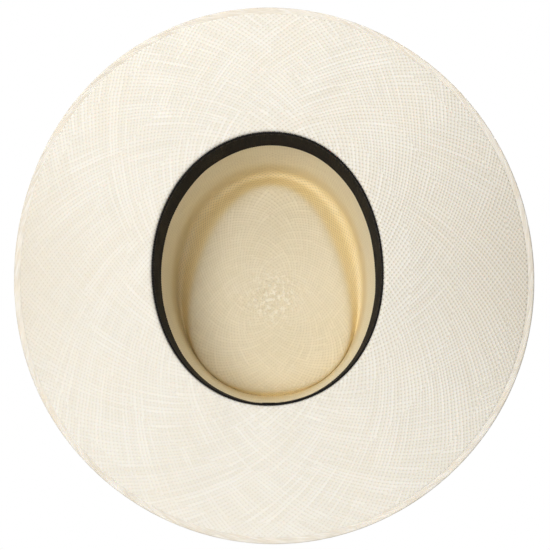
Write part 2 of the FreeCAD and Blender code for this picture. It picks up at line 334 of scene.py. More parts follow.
def cloth_strip(name, grid, thick, u, v, material, closed=False):
    """A closed solid strip round a grid of middle points; u and v are the cloth's own coordinates."""
    rows, columns = grid.shape[:2]
    u, v = np.broadcast_arrays(u, v)
    offset = normals_of(grid, closed) * (thick / 2)
    front = grid + offset
    back = grid - offset
    vertices = np.concatenate([front.reshape(-1, 3), back.reshape(-1, 3)])
    count = rows * columns
    quads = [grid_quads(rows, columns, closed), grid_quads(rows, columns, closed, count)[:, ::-1]]
    uvs = [grid_uvs(rows, columns, closed, u, v)]
    uvs.append(uvs[0][:, ::-1])
    for row, flip in ((0, True), (rows - 1, False)):
        add_rim(quads, uvs, row * columns + np.arange(columns), count, u[row], v[row], closed, flip)
    if not closed:
        for column, flip in ((0, False), (columns - 1, True)):
            line = np.arange(rows) * columns + column
            add_rim(quads, uvs, line, count, u[:, column], v[:, column], False, flip)
    return mesh_object(name, vertices, np.concatenate(quads), np.concatenate(uvs), material)


def add_rim(quads, uvs, line, count, u, v, closed, flip):
    """Quads between the front and the back of one edge of a strip."""
    after = np.roll(line, -1) if closed else line[1:]
    before = line if closed else line[:-1]
    rim = np.stack([before, before + count, after + count, after], axis=-1)
    start = np.stack([u[:len(before)], v[:len(before)]], axis=-1)
    end = np.stack([u[1:len(before) + 1], v[1:len(before) + 1]], axis=-1)
    rim_uvs = np.stack([start, start, end, end], axis=1)
    quads.append(rim[:, ::-1] if flip else rim)
    uvs.append(rim_uvs[:, ::-1] if flip else rim_uvs)


class Graph:
    """A material's nodes, with short calls for the ones that are used often."""

    def __init__(self, name):
        self.material = bpy.data.materials.new(name)
        self.material.use_nodes = True
        self.tree = self.material.node_tree
        self.tree.nodes.clear()

    def node(self, kind, **settings):
        made = self.tree.nodes.new("ShaderNode" + kind)
        for setting, value in settings.items():
            setattr(made, setting, value)
        return made

    def feed(self, socket, value):
        if isinstance(value, bpy.types.NodeSocket):
            self.tree.links.new(value, socket)
        else:
            socket.default_value = value

    def math(self, operation, *values):
        made = self.node("Math", operation=operation)
        for socket, value in zip(made.inputs, values):
            self.feed(socket, value)
        return made.outputs[0]

    def times(self, first, second):
        return self.math("MULTIPLY", first, second)

    def times_plus(self, first, second, third):
        return self.math("MULTIPLY_ADD", first, second, third)

    def remap(self, value, low, high, new_low=0.0, new_high=1.0):
        made = self.node("MapRange", interpolation_type="SMOOTHSTEP")
        for socket, number in zip(made.inputs, (value, low, high, new_low, new_high)):
            self.feed(socket, number)
        return made.outputs[0]

    def mix(self, share, first, second):
        made = self.node("Mix", data_type="RGBA")
        self.feed(made.inputs[0], share)
        self.feed(made.inputs[6], first)
        self.feed(made.inputs[7], second)
        return made.outputs[2]

    def pick(self, choice, if_one, if_zero):
        """The first value where choice is 1, and the second where it is 0."""
        return self.times_plus(choice, self.math("SUBTRACT", if_one, if_zero), if_zero)

    def noise(self, vector, scale, detail):
        made = self.node("TexNoise")
        self.feed(made.inputs["Vector"], vector)
        self.feed(made.inputs["Scale"], scale)
        self.feed(made.inputs["Detail"], detail)
        return made.outputs["Fac"]

    def vector(self, x, y, z):
        made = self.node("CombineXYZ")
        for socket, value in zip(made.inputs, (x, y, z)):
            self.feed(socket, value)
        return made.outputs[0]

    def pattern_uv(self):
        """The piece's own cloth coordinates, as two sockets."""
        made = self.node("UVMap", uv_map="pattern")
        split = self.node("SeparateXYZ")
        self.feed(split.inputs[0], made.outputs[0])
        return split.outputs[0], split.outputs[1]

    def attribute(self, name):
        return self.node("Attribute", attribute_name=name).outputs["Fac"]

    def position(self):
        return self.node("TexCoord").outputs["Object"]

    def bump(self, height, strength, distance):
        made = self.node("Bump")
        made.inputs["Strength"].default_value = strength
        made.inputs["Distance"].default_value = distance
        self.feed(made.inputs["Height"], height)
        return made.outputs[0]

    def surface(self, color, roughness, normal, **fixed):
        """Ends the material with one shader; fixed sets constants on the shader's sockets."""
        shader = self.node("BsdfPrincipled")
        self.feed(shader.inputs["Base Color"], color)
        self.feed(shader.inputs["Roughness"], roughness)
        self.feed(shader.inputs["Normal"], normal)
        for socket, value in fixed.items():
            shader.inputs[socket.replace("_", " ")].default_value = value
        output = self.node("OutputMaterial")
        self.tree.links.new(shader.outputs[0], output.inputs[0])
        return self.material


Weave = namedtuple("Weave", "across_u across_v height strand along across")


def strand_height(graph, across, along, side, lean, sign):
    """Height of one family's strand: a rounded back, raised a little where it passes over."""
    rounding = graph.times_plus(graph.times(across, across), -3.6, 0.9)
    lift = graph.math("COSINE", graph.times(along, math.pi))
    signed = graph.times(graph.times(lift, side), sign)
    leaning = graph.times_plus(lean, sign, rounding)
    return graph.times_plus(signed, 0.06, leaning)


def family_lean(graph, place, inside):
    """Patches where one or the other family stands out, smaller inside the crown."""
    wide_patch = graph.noise(place, 30.0, 2.0)
    small_patch = graph.noise(place, 115.0, 1.0)
    change = graph.math("SUBTRACT", small_patch, wide_patch)
    patch = graph.times_plus(inside, change, wide_patch)
    return graph.remap(patch, 0.38, 0.62, -0.22, 0.22)


def plain_weave(graph, place, inside):
    """Two families of strands, and which strand lies on top; u and v count the strands."""
    u, v = graph.pattern_uv()
    u = graph.times_plus(graph.noise(place, 60.0, 1.0), 0.6, u)
    v = graph.times_plus(graph.noise(place, 53.0, 1.0), 0.6, v)
    cell_u = graph.math("FLOOR", u)
    cell_v = graph.math("FLOOR", v)
    across_u = graph.math("SUBTRACT", graph.math("SUBTRACT", u, cell_u), 0.5)
    across_v = graph.math("SUBTRACT", graph.math("SUBTRACT", v, cell_v), 0.5)
    odd = graph.math("FLOORED_MODULO", graph.math("ADD", cell_u, cell_v), 2.0)
    side = graph.times_plus(odd, -2.0, 1.0)
    lean = family_lean(graph, place, inside)
    height_u = strand_height(graph, across_u, across_v, side, lean, 1.0)
    height_v = strand_height(graph, across_v, across_u, side, lean, -1.0)
    u_is_over = graph.math("GREATER_THAN", height_u, height_v)
    strand = graph.pick(u_is_over, cell_u, graph.math("ADD", cell_v, 0.37))
    along = graph.pick(u_is_over, v, u)
    across = graph.pick(u_is_over, across_u, across_v)
    height = graph.math("MAXIMUM", height_u, height_v)
    return Weave(across_u, across_v, height, strand, along, across)


def strand_tone(graph, weave):
    """Each strand's own tone, which also drifts along it."""
    whole_strand = graph.node("TexWhiteNoise", noise_dimensions="1D")
    graph.feed(whole_strand.inputs["W"], weave.strand)
    number = graph.times(weave.strand, 3.7)
    drift = graph.noise(graph.vector(number, graph.times(weave.along, 0.09), 0.0), 1.0, 1.0)
    return graph.times_plus(whole_strand.outputs["Value"], 0.45, graph.times(drift, 0.55))


def strand_fibre(graph, weave):
    """Fine streaks along each strand."""
    across = graph.times_plus(weave.across, 5.0, graph.times(weave.strand, 9.1))
    return graph.noise(graph.vector(across, graph.times(weave.along, 0.35), 4.0), 1.0, 2.0)


def straw_tint(graph, tone, inside):
    """Bleached outside and under the brim, with painted shade where the brim's sides are lifted; inside the
    crown a golden tone of painted warm bounce light, stronger in the rim's hollow, and a lighter wall that
    is painted light.
    """
    lifted_shade_share = graph.times(graph.attribute("lifted_shade"), 0.75)
    bleached = graph.mix(lifted_shade_share, graph.mix(tone, *STRAW_BLEACHED), STRAW_LIFTED_SHADE)
    golden = graph.mix(tone, *STRAW_CROWN_BOUNCE)
    hollow_bounce_tint = graph.mix(tone, *STRAW_HOLLOW_BOUNCE)
    tip_and_rim = graph.mix(graph.attribute("hollow_bounce"), golden, hollow_bounce_tint)
    crown = graph.mix(graph.attribute("wall"), tip_and_rim, graph.mix(tone, *STRAW_WALL_LIGHT))
    return graph.mix(inside, bleached, crown)


def weave_gap_shade(graph, weave, inside, openness):
    """How dark the painted shade in the weave's gaps is: pinholes at the strands' corners and grooves along
    their sides, stronger in the rim's hollow and in the crease by the break line.
    """
    far_u = graph.math("ABSOLUTE", weave.across_u)
    far_v = graph.math("ABSOLUTE", weave.across_v)
    pinhole = graph.remap(graph.times(far_u, far_v), 0.08, 0.20, 0.0, 0.85)
    groove = graph.remap(graph.math("MAXIMUM", far_u, far_v), 0.34, 0.5, 0.0, 0.22)
    gap = graph.math("MAXIMUM", pinhole, groove)
    golden = graph.times(graph.attribute("hollow_bounce"), inside)
    fold_shade_share = graph.times_plus(graph.attribute("fold"), 0.5, 0.75)
    gap_shade_share = graph.times_plus(golden, 0.8, fold_shade_share)
    return graph.times(graph.times(gap, gap_shade_share), openness)


def straw_relief(graph, place, weave, fibre, knots, openness):
    """Rounded strands with their fibres, and the crumpled rings of the rosette."""
    ring_place = graph.times_plus(graph.noise(place, 160.0, 1.0), 9.0, graph.attribute("ring_phase"))
    rings = graph.math("SINE", ring_place)
    crumple = graph.times_plus(knots, 3.6, graph.times(rings, 0.7))
    square_u = graph.times(weave.across_u, weave.across_u)
    square_v = graph.times(weave.across_v, weave.across_v)
    egg_crate = graph.math("ADD", square_u, square_v)
    woven = graph.times_plus(egg_crate, -2.2, graph.times(weave.height, 0.6))
    relief = graph.times_plus(fibre, 0.15, graph.times(woven, openness))
    return graph.times_plus(crumple, graph.attribute("rosette"), relief)


def straw_material():
    """Plain-woven straw: two families of strands, each strand with its own tone."""
    graph = Graph("straw")
    place = graph.position()
    inside = graph.attribute("inside")
    openness = graph.attribute("openness")
    weave = plain_weave(graph, place, inside)
    fibre = strand_fibre(graph, weave)
    blotch = graph.noise(place, 22.0, 3.0)
    knots = graph.noise(place, 330.0, 2.0)
    color = straw_tint(graph, strand_tone(graph, weave), inside)
    color = graph.mix(graph.remap(blotch, 0.4, 0.75, 0.0, 0.2), color, STRAW_BLOTCH)
    color = graph.mix(graph.remap(fibre, 0.3, 0.7, 0.12, 0.0), color, STRAW_STREAK)
    knot_share = graph.remap(knots, 0.50, 0.62, 0.0, 0.6)
    color = graph.mix(graph.times(graph.attribute("rosette"), knot_share), color, STRAW_KNOT)
    color = graph.mix(weave_gap_shade(graph, weave, inside, openness), color, STRAW_GAP_SHADE)
    normal = graph.bump(straw_relief(graph, place, weave, fibre, knots, openness), 1.0, 0.26 * MM)
    roughness = graph.remap(fibre, 0.2, 0.8, 0.50, 0.64)
    return graph.surface(color, roughness, normal, **STRAW_SHEEN)


def edge_material():
    """The turned-back edge: strands that run nearly along the brim's outline."""
    graph = Graph("straw_edge")
    u, v = graph.pattern_uv()
    ridge = graph.math("SINE", graph.times(graph.math("FRACT", u), math.pi))
    strand_place = graph.vector(graph.math("FLOOR", u), graph.times(v, 0.16), 0.0)
    tone = graph.noise(strand_place, 1.7, 2.0)
    stain = graph.noise(graph.position(), 55.0, 2.0)
    color = graph.mix(graph.remap(tone, 0.3, 0.7), *STRAW_EDGE)
    color = graph.mix(graph.remap(stain, 0.42, 0.72, 0.0, 0.4), color, STRAW_EDGE_STAIN)
    # darker between the strands: painted shade in the grooves
    color = graph.mix(graph.remap(ridge, 0.0, 0.5, 0.18, 0.0), color, STRAW_EDGE_GROOVE_SHADE)
    normal = graph.bump(ridge, 0.7, 0.15 * MM)
    roughness = graph.remap(tone, 0.2, 0.8, 0.52, 0.64)
    return graph.surface(color, roughness, normal, **STRAW_SHEEN)


def grosgrain_material(name, dark, light, rib_pitch, sheen, shine):
    """Ribbed black ribbon; u runs along it and v across it, both in millimetres."""
    graph = Graph(name)
    u, v = graph.pattern_uv()
    rib = graph.math("SINE", graph.times(u, math.pi / rib_pitch))
    ribs = graph.math("ABSOLUTE", rib)
    thread = graph.math("SINE", graph.times(v, FULL_TURN / 0.32))
    lint = graph.noise(graph.position(), 900.0, 3.0)
    wear = graph.noise(graph.position(), 45.0, 3.0)
    # lighter rib tops and darker grooves: painted highlight and shade on the ribs, weaker in worn patches
    share = graph.times(ribs, graph.remap(wear, 0.3, 0.75, 0.45, 1.0))
    color = graph.mix(share, dark, light)
    color = graph.mix(graph.remap(lint, 0.66, 0.78, 0.0, 0.2), color, (0.06, 0.057, 0.054, 1))
    relief = graph.times_plus(thread, 0.12, ribs)
    normal = graph.bump(graph.times_plus(lint, 0.15, relief), 0.6, 0.18 * MM)
    roughness = graph.remap(wear, 0.2, 0.8, 0.62, 0.8)
    return graph.surface(color, roughness, normal, Specular_IOR_Level=shine, Sheen_Weight=sheen,
                         Sheen_Roughness=0.45)


def thread_material():
    """Twisted black sewing thread."""
    graph = Graph("thread")
    u, v = graph.pattern_uv()
    twist = graph.math("SINE", graph.times(graph.math("ADD", u, v), FULL_TURN / 0.5))
    # lighter and darker along the twist: painted highlight and shade on the plies
    color = graph.mix(graph.remap(twist, -1.0, 1.0), (0.012, 0.012, 0.013, 1), (0.06, 0.06, 0.062, 1))
    normal = graph.bump(twist, 0.5, 0.08 * MM)
    return graph.surface(color, 0.55, normal, Sheen_Weight=0.2)


def floor_material():
    """Pale floor from above; from below it isn't there, so that the hat can be seen from underneath."""
    graph = Graph("floor")
    shader = graph.node("BsdfPrincipled")
    grain = graph.noise(graph.position(), 60.0, 2.0)
    graph.feed(shader.inputs["Base Color"], graph.mix(grain, (0.80, 0.80, 0.80, 1), (0.84, 0.84, 0.84, 1)))
    shader.inputs["Roughness"].default_value = 0.7
    clear = graph.node("BsdfTransparent")
    both = graph.node("MixShader")
    graph.feed(both.inputs[0], graph.node("NewGeometry").outputs["Backfacing"])
    graph.feed(both.inputs[1], shader.outputs[0])
    graph.feed(both.inputs[2], clear.outputs[0])
    output = graph.node("OutputMaterial")
    graph.feed(output.inputs[0], both.outputs[0])
    return graph.material


# ---- straw ----
def cubic_weights(pole_count, places):
    """Weights of a clamped cubic B-spline's poles at places from 0 to 1."""
    spans = pole_count - 3
    knots = np.concatenate([[0.0] * 3, np.arange(spans + 1), [float(spans)] * 3])
    at = np.clip(np.asarray(places) * spans, 0.0, spans - 1e-9)
    weights = [((knots[i] <= at) & (at < knots[i + 1])).astype(float) for i in range(len(knots) - 1)]
    for degree in (1, 2, 3):
        raised = []
        for i in range(len(knots) - 1 - degree):
            left = knots[i + degree] - knots[i]
            right = knots[i + degree + 1] - knots[i + 1]
            total = np.zeros_like(at)
            if left > 0:
                total += (at - knots[i]) / left * weights[i]
            if right > 0:
                total += (knots[i + degree + 1] - at) / right * weights[i + 1]
            raised.append(total)
        weights = raised
    return np.stack(weights, axis=1)


def straw_rings(turn):
    """The same rings as in the CAD model, with more of them inside the tip."""
    tip_rise = CROWN_RISE - TIP_DROP
    middle = STRAW_THICK / 2
    lift = tip_lift(turn)
    rings = [inner_tip_points(turn, share, tip_rise) for share in (0.0, 0.15, 0.3, 0.45, 0.6, 0.8)]
    for share, lift_share in ((0.92, 0.35), (1.0, 1.0)):
        edge_ring = inner_tip_points(turn, share, tip_rise)
        edge_ring[:, 2] += lift_share * lift
        rings.append(edge_ring)
    for share, rise in ((0.33, CROWN_RISE - (TIP_DROP - lift) / 2), (0.62, CROWN_RISE), (0.85, CROWN_RISE)):
        inner = tip_points(turn, rise)
        outer = wall_points(turn, rise, middle)
        rings.append(inner + (outer - inner) * share)
    wall_rises = [CROWN_RISE - RIM_ROUND, CROWN_RISE - 4 * RIM_ROUND]
    wall_rises += [CROWN_RISE * share for share in (0.75, 0.6, 0.45, 0.3, 0.15)]
    wall_rises += [2 * RIM_ROUND, RIM_ROUND]
    for rise in wall_rises:
        rings.append(wall_points(turn, rise, middle))
    for share in (0.0, 0.03, 0.08, 0.25, 0.5, 0.75, 0.95, 1.0):
        rings.append(brim_points(turn, share))
    return np.array(rings)


def meridian_places(rings, count):
    """Places along the spline: half of them even in length, half of them crowded at the tight curves."""
    fine = np.linspace(0.0, 1.0, 2001)
    line = cubic_weights(len(rings), fine) @ rings[:, 0]
    length = np.concatenate([[0.0], np.cumsum(np.linalg.norm(np.diff(line, axis=0), axis=1))])
    blend = 0.62 * length / length[-1] + 0.38 * fine
    return np.interp(np.linspace(0.0, 1.0, count), blend, fine)


def weave_zones(arc, circumference, tip_share):
    """Zone number and strand count of each row; a new zone starts where the rings have grown enough."""
    zone = np.zeros(len(arc), int)
    start = 0
    for row in range(1, len(arc)):
        grown = circumference[row] > ZONE_GROWTH * circumference[start]
        long_enough = arc[row] - arc[start] > ZONE_MIN_LENGTH
        zone[row] = zone[row - 1]
        if grown and long_enough:
            zone[row] += 1
            start = row
    pitch = TIP_STRAND_PITCH * tip_share + STRAND_PITCH * (1 - tip_share)
    wanted = circumference / pitch / math.hypot(1, STRAND_SLANT)
    counts = np.zeros(len(arc), int)
    for index in range(zone.max() + 1):
        counts[zone == index] = max(8, round(wanted[zone == index].mean()))
    return zone, counts


def even_turns(ring, turn):
    """Turns that grow evenly with the length round a ring."""
    side = np.linalg.norm(np.roll(ring, -1, axis=0) - ring, axis=1)
    length = side.sum()
    if length < 1 * MM:
        return turn
    return FULL_TURN * (np.cumsum(side) - side) / length


def weave_places(grid, turn, zone):
    """Turn and slanted advance of the strands at both ends of each strip of the grid.

    Inside a zone the turn is carried along lines that cross the rings squarely, so that the two
    families of strands cross each other at the same angle all round the hat.
    """
    spacing = turn[1] - turn[0]
    across = np.zeros((2, len(zone), len(turn) + 1))
    ahead = np.zeros((2, len(zone), len(turn) + 1))
    for row in range(len(zone)):
        if row == 0 or zone[row] != zone[row - 1]:
            drift = even_turns(grid[row], turn) - turn
            advance = np.zeros(len(turn))
        across[0, row] = close_round(turn + drift, FULL_TURN)
        ahead[0, row] = STRAND_SLANT * close_round(advance)
        near, far = grid[row], grid[row + 1]
        tangent = (np.roll(far, -1, axis=0) - np.roll(far, 1, axis=0)) / (2 * spacing)
        reach = np.maximum(np.linalg.norm(tangent, axis=1), 1.5 * MM)
        shift = np.clip(-((far - near) * tangent).sum(axis=1) / reach ** 2, -0.1, 0.1)
        step = np.linalg.norm(far + tangent * shift[:, None] - near, axis=1)
        growth = 1 + (np.roll(drift, -1) - np.roll(drift, 1)) / (2 * spacing)
        drift = np.interp(turn, turn + shift, drift - shift, period=FULL_TURN)
        advance = np.interp(turn, turn + shift, advance + step * growth / reach, period=FULL_TURN)
        across[1, row] = close_round(turn + drift, FULL_TURN)
        ahead[1, row] = STRAND_SLANT * close_round(advance)
    return across, ahead


def weave_layout(grid):
    """Length along the rows, and the weave's zone and strand count in each strip between two rows."""
    step = np.linalg.norm(np.diff(grid, axis=0), axis=2)
    arc = np.concatenate([[0.0], np.cumsum(step.mean(axis=1))])
    circumference = np.linalg.norm(np.roll(grid, -1, axis=1) - grid, axis=2).sum(axis=1)
    height = grid[:-1, :, 2].mean(axis=1) - BREAK_HEIGHT
    tip_share = smooth((height - TIP_WEAVE_RISE) / TIP_WEAVE_FADE)
    middle_circumference = (circumference[:-1] + circumference[1:]) / 2
    zone, counts = weave_zones((arc[:-1] + arc[1:]) / 2, middle_circumference, tip_share)
    return arc, zone, counts


def weave_uvs(across, ahead, counts, phase):
    """Strand counts of both families at the corners of the skin's quads."""
    scale = (counts / FULL_TURN)[:, None]
    families = (scale * (across + ahead) + phase, scale * (across - ahead) + FAMILY_OFFSET)
    corners = [np.stack([low[:, :-1], low[:, 1:], high[:, 1:], high[:, :-1]], axis=-1)
               for low, high in families]
    uvs = np.stack(corners, axis=-1)
    rim_uvs = uvs[-1][:, [3, 3, 2, 2]]
    uvs = uvs.reshape(-1, 4, 2)
    return np.concatenate([uvs, uvs[:, ::-1], rim_uvs])


def skin_quads(rows, around):
    """Quads of a thick skin: its upper side, its lower side, and the rim at its last row."""
    count = rows * around
    quads = grid_quads(rows, around, True)
    rim = (rows - 1) * around + np.arange(around)
    rim_quads = np.stack([rim, rim + count, np.roll(rim, -1) + count, np.roll(rim, -1)], axis=-1)
    return np.concatenate([quads, quads[:, ::-1] + count, rim_quads[:, ::-1]])


def build_straw(material):
    """Crown and brim as one closed skin, with the weave's strand counts as its pattern map."""
    random = np.random.default_rng(SEED)
    around, rows = 360, 130
    turn = turns(around)
    rings = straw_rings(turn)
    grid = np.einsum("sk,knc->snc", cubic_weights(len(rings), meridian_places(rings, rows)), rings)
    arc, zone, counts = weave_layout(grid)
    across, ahead = weave_places(grid, turn, zone)

    grid = shape_by_hand(grid, turn, random)
    phase = random.uniform(0, 40, size=zone.max() + 1).round()[zone][:, None]
    normal = normals_of(grid, True)
    normal[0] = (0, 0, 1)
    upper = grid + normal * (STRAW_THICK / 2)
    lower = grid - normal * (STRAW_THICK / 2)
    vertices = np.concatenate([upper.reshape(-1, 3), lower.reshape(-1, 3)])
    uvs = weave_uvs(across, ahead, counts, phase)
    piece = mesh_object("straw", vertices, skin_quads(rows, around), uvs, material)
    mark_straw(piece, grid, turn, arc)
    merge_points(piece, 0.02 * MM)
    return piece


def mark_straw(piece, grid, turn, arc):
    """Values at the skin's points that the straw's material reads."""
    from_break = arc_from_break(arc, grid)[:, None] + 0 * turn
    on_brim = from_break > 0
    in_crown = smooth((-from_break - 1 * MM) / (5 * MM)).ravel()
    add_attribute(piece, "inside", np.concatenate([np.zeros(len(in_crown)), in_crown]))
    # the painted shade on the brim's lifted sides grows with their height
    lifted = smooth((grid[:, :, 2] - BREAK_HEIGHT + 3 * MM) / BRIM_SIDE_LIFT)
    # openness sets both how dark the gaps' painted shade is and how deep the weave's relief is; it is
    # largest near OPEN_WEAVE_TURN
    brim_openness = 0.56 + 0.22 * np.cos(turn - OPEN_WEAVE_TURN) - 0.10 * np.cos(2 * turn)
    from_rosette = np.hypot(grid[:, :, 0] - ROSETTE[0], grid[:, :, 1] - ROSETTE[1])
    on_tip = grid[:, :, 2] > BREAK_HEIGHT + CROWN_RISE / 2
    marks = {
        "lifted_shade": lifted * on_brim,
        "openness": np.where(on_brim, brim_openness, 0.50),
        # fold: more painted shade in the weave's gaps, in the crease by the break line
        "fold": np.exp(-((from_break - 3 * MM) / (5 * MM)) ** 2),
        "rosette": on_tip * np.exp(-(from_rosette / ROSETTE_REACH) ** 2),
        "ring_phase": from_rosette * FULL_TURN / ROSETTE_RING,
        "hollow_bounce": hollow_bounce_share(grid, turn),
        "wall": wall_light_share(grid),
    }
    for name, values in marks.items():
        add_attribute(piece, name, np.tile(values.ravel(), 2))


def before_rim(grid):
    """Marks the rows from the tip's middle to the rim's highest row."""
    rim_row = np.argmax(grid[:, :, 2].mean(axis=1))
    return (np.arange(len(grid)) < rim_row)[:, None]


def hollow_bounce_share(grid, turn):
    """Share of the rim hollow's painted warm bounce light: none on the tip, most of it on the wall, all of
    it in the rim's hollow; it also deepens the painted shade in the weave's gaps.
    """
    z = grid[:, :, 2]
    above_edge = z - TIP_HEIGHT - tip_lift(turn)
    inner_side = smooth((above_edge - 0.2 * MM) / (TIP_DROP * 0.35))
    outer_side = 0.7 + 0.3 * smooth((z - TIP_HEIGHT) / TIP_DROP)
    return np.where(before_rim(grid), inner_side, outer_side)


def wall_light_share(grid):
    """Where the crown's wall gets its lighter colour, which is painted light: it fades in below the rim."""
    below_rim = smooth((TIP_HEIGHT - grid[:, :, 2]) / (20 * MM))
    return np.where(before_rim(grid), 0.0, below_rim)


def arc_from_break(arc, grid):
    """Length along each row from the break line, positive on the brim."""
    outside = np.hypot(grid[:, 0, 0], grid[:, 0, 1]) > HEAD_HALF_LENGTH
    return arc - arc[np.argmax(outside)]


def add_attribute(piece, name, values):
    """One number at each point of the piece."""
    layer = piece.data.attributes.new(name, "FLOAT", "POINT")
    layer.data.foreach_set("value", np.asarray(values, np.float32))


def shape_by_hand(grid, turn, random):
    """The unevenness of hand work: a wavy brim, and small puckers at the break line."""
    shaped = grid.copy()
    z = grid[:, :, 2]
    radius = np.hypot(grid[:, :, 0], grid[:, :, 1])
    head = np.hypot(HEAD_HALF_WIDTH * np.sin(turn), HEAD_HALF_LENGTH * np.cos(turn))[None, :]
    on_brim = smooth((radius - head - 1 * MM) / (4 * MM)) * (z < BREAK_HEIGHT + BRIM_SIDE_LIFT + 2 * MM)
    pucker = gentle_noise(turn, (53, 61, 67, 74, 83, 91), 0.22 * MM, random)[None, :]
    near_break = np.exp(-((radius - head - 5 * MM) / (5 * MM)) ** 2)
    shaped[:, :, 2] += on_brim * near_break * pucker
    share = np.clip((radius - head) / BRIM_END_WIDTH, 0, 1)
    wave = gentle_noise(turn, (5, 7, 9, 11), 0.5 * MM, random)[None, :]
    ripple = gentle_noise(turn, (14, 19, 23, 31), 0.22 * MM, random)[None, :]
    middle = np.sin(math.pi * share)
    shaped[:, :, 2] += on_brim * middle * (wave + ripple)
    return shaped


def merge_points(piece, distance):
    """Joins the points that lie on each other, such as those of the rosette's centre."""
    mesh = bmesh.new()
    mesh.from_mesh(piece.data)
    bmesh.ops.remove_doubles(mesh, verts=mesh.verts, dist=distance)
    mesh.to_mesh(piece.data)
    mesh.free()


def build_edge_roll(material):
    """The turned-back edge: round at the outline, and tapered down to the brim's faces on its inner side."""
    around, sides = 1440, 16
    turn = turns(around)
    brim_width = (BRIM_SIDE_WIDTH + BRIM_END_WIDTH) / 2
    slope = BRIM_BEND * (edge_height(turn) - BREAK_HEIGHT) / brim_width
    half_height = EDGE_ROLL_HEIGHT / 2
    section = []
    for index in range(sides + 1):
        share = 0.5 - 0.5 * math.cos(math.pi * index / sides)
        inset = EDGE_BAND_WIDTH * share
        if inset < half_height:
            thick = math.sqrt(half_height ** 2 - (half_height - inset) ** 2)
        else:
            taper = (inset - half_height) / (EDGE_BAND_WIDTH - half_height)
            thick = half_height + (EDGE_BAND_END - half_height) * taper
        section.append((inset, thick))
    outline = [(inset, -thick) for inset, thick in section[::-1]] + section[1:]
    rows = [outline_points(turn, inset, edge_height(turn) + slope * (EDGE_ROLL_WIDTH - inset) + lift)
            for inset, lift in outline]
    grid = np.array(rows)
    closed_turn = close_round(turn, FULL_TURN)[None, :]
    places = [inset if lift > 0 else -inset for inset, lift in outline] + [-EDGE_BAND_WIDTH]
    strands_across = np.array(places)[:, None] / EDGE_STRAND_PITCH
    u = strands_across + EDGE_STRANDS_PER_ROUND * closed_turn / FULL_TURN
    v = closed_turn * HEAD_HALF_LENGTH / STRAND_PITCH
    quads = grid_quads(len(outline) + 1, around, True) % (len(outline) * around)
    uvs = grid_uvs(len(outline) + 1, around, True, u, v)
    return mesh_object("edge_roll", grid.reshape(-1, 3), quads, uvs, material)


# ---- sweatband ----
def build_sweatband(material):
    """Ribbed band; its ribs stand up from the break line to the upper edge."""
    random = np.random.default_rng(SEED + 1)
    around, rows = BAND_RIB_COUNT * 6, 12
    turn = turns(around)
    low = 2 * REED_RADIUS + CLOTH_GAP
    share = np.linspace(0.0, 1.0, rows)[:, None]
    rise = low + (SWEATBAND_TOP - low) * share
    loose = np.abs(gentle_noise(turn, (3, 5, 8), 0.3 * MM, random))[None, :] * share ** 2
    rib = BAND_RIB_DEPTH * np.cos(BAND_RIB_COUNT * turn)[None, :]
    outward = -CLOTH_GAP - SWEATBAND_THICK / 2 - loose - rib
    return closed_band("sweatband_cloth", turn, rise, outward, SWEATBAND_THICK, material)


def build_reed(material):
    """The hem's round bead under the band's cloth, scalloped by the ribs."""
    around, sides = BAND_RIB_COUNT * 6, 10
    turn = turns(around)
    angle = FULL_TURN * np.arange(sides)[:, None] / sides
    radius = REED_RADIUS * (1 + 0.4 * np.cos(BAND_RIB_COUNT * turn))[None, :]
    rise = REED_RADIUS + radius * np.sin(angle)
    outward = -CLOTH_GAP - REED_RADIUS + radius * np.cos(angle)
    grid = wall_points(turn, rise, outward)
    ring = np.arange(sides + 1)[:, None]
    quads = grid_quads(sides + 1, around, True) % (sides * around)
    uvs = grid_uvs(sides + 1, around, True, arc_round(turn), 0.4 * ring)
    return mesh_object("hem_bead", grid.reshape(-1, 3), quads, uvs, material)


def build_stitches(name, stitch_turns, rise, outward, material):
    """Short rounded stitches that lie along the crown wall."""
    along, sides = 7, 6
    vertices = []
    quads = []
    uvs = []
    for stitch_turn in stitch_turns:
        centre = wall_points(np.array(stitch_turn), rise, outward)
        ahead = wall_points(np.array(stitch_turn + 0.01), rise, outward) - centre
        ahead /= np.linalg.norm(ahead)
        side = np.array([ahead[1], -ahead[0], 0.0])
        place = np.linspace(-0.5, 0.5, along)[:, None]
        angle = FULL_TURN * np.arange(sides)[None, :] / sides
        radius = STITCH_RADIUS * np.sqrt(np.clip(1.02 - (2 * place) ** 4, 0.03, 1))
        sag = STITCH_SAG * (1 - (2 * place) ** 2)
        body = (centre + place[..., None] * STITCH_LENGTH * ahead
                + (radius * np.cos(angle))[..., None] * np.array([0, 0, 1.0])
                + (0.7 * radius * np.sin(angle) + sag)[..., None] * side)
        first = len(vertices) * along * sides
        vertices.append(body.reshape(-1, 3))
        quads.append(grid_quads(along, sides, True, first))
        u = np.linspace(0, STITCH_LENGTH / MM, along)[:, None]
        v = np.linspace(0, 1.5, sides + 1)[None, :]
        uvs.append(grid_uvs(along, sides, True, u, v))
        quads.append(first + np.array([[0, 1, 2, 3], [0, 3, 4, 5]]))
        last = first + (along - 1) * sides
        quads.append(last + np.array([[3, 2, 1, 0], [5, 4, 3, 0]]))
        uvs.append(np.zeros((4, 4, 2)))
    vertices, quads, uvs = [np.concatenate(part) for part in (vertices, quads, uvs)]
    return mesh_object(name, vertices, quads, uvs, material)


def closed_band(name, turn, rise, outward, thick, material):
    """A cloth band round the crown wall."""
    grid = wall_points(turn, rise, outward)
    return cloth_strip(name, grid, thick, arc_round(turn), rise / MM, material, closed=True)


def wall_strip(name, arc, rise, outward, thick, material, centre=BOW_TURN):
    """A cloth strip on the crown wall from arrays of arc, rise and outward."""
    arc, rise, outward = np.broadcast_arrays(arc, rise, outward)
    grid = wall_points(centre + arc / HEAD_HALF_LENGTH, rise, outward)
    return cloth_strip(name, grid, thick, arc / MM, rise / MM, material)


